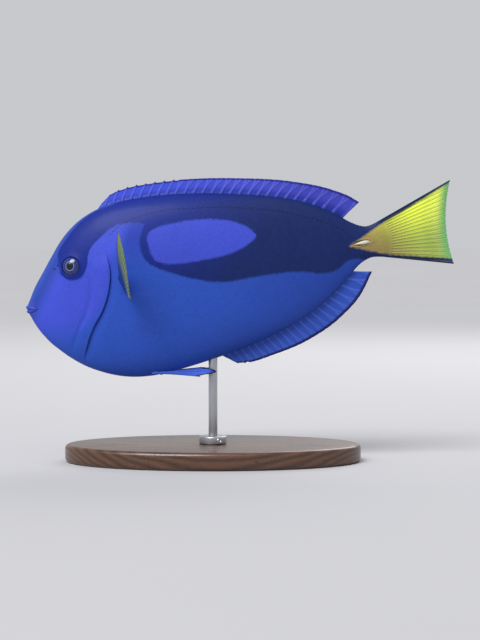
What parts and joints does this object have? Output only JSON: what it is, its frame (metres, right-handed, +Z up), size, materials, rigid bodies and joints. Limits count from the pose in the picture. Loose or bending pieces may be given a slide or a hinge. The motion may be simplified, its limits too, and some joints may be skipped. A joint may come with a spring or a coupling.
{
  "type": "regal blue tang display model",
  "caption": "Life-size still model of a regal blue tang swimming nose down, held by one rod over a plain oval stand.",
  "frame": {"origin": "centre of the bounding box's underside, on the surface the stand rests on", "axes": "+X from the snout towards the tail, +Y towards the fish's right flank, +Z up; the fish's long axis is tipped nearly 11 degrees nose down about Y"},
  "size_m": [0.2168, 0.0926, 0.1435],
  "materials": {
    "skin_blue": "satin, as wet fine-scaled skin",
    "fin_blue": "satin membrane with raised rays",
    "fin_yellow": "satin membrane with raised rays",
    "eye": "wet gloss",
    "tail_spine": "satin bone",
    "steel": "brushed",
    "wood": "satin varnish"
  },
  "bodies": {
    "root": {"head": "skin_blue", "trunk": "skin_blue", "tail_stem": "fin_yellow", "dorsal_fin": "fin_blue", "anal_fin": "fin_blue", "tail_fin": "fin_yellow", "pectoral_fin_left": "fin_yellow", "pectoral_fin_right": "fin_yellow", "pelvic_fin_left": "fin_blue", "pelvic_fin_right": "fin_blue", "eye_left": "eye", "eye_right": "eye", "tail_spine_left": "tail_spine", "tail_spine_right": "tail_spine", "stand_base": "wood", "stand_rod": "steel", "stand_collar": "steel"}
  },
  "joints": []
}
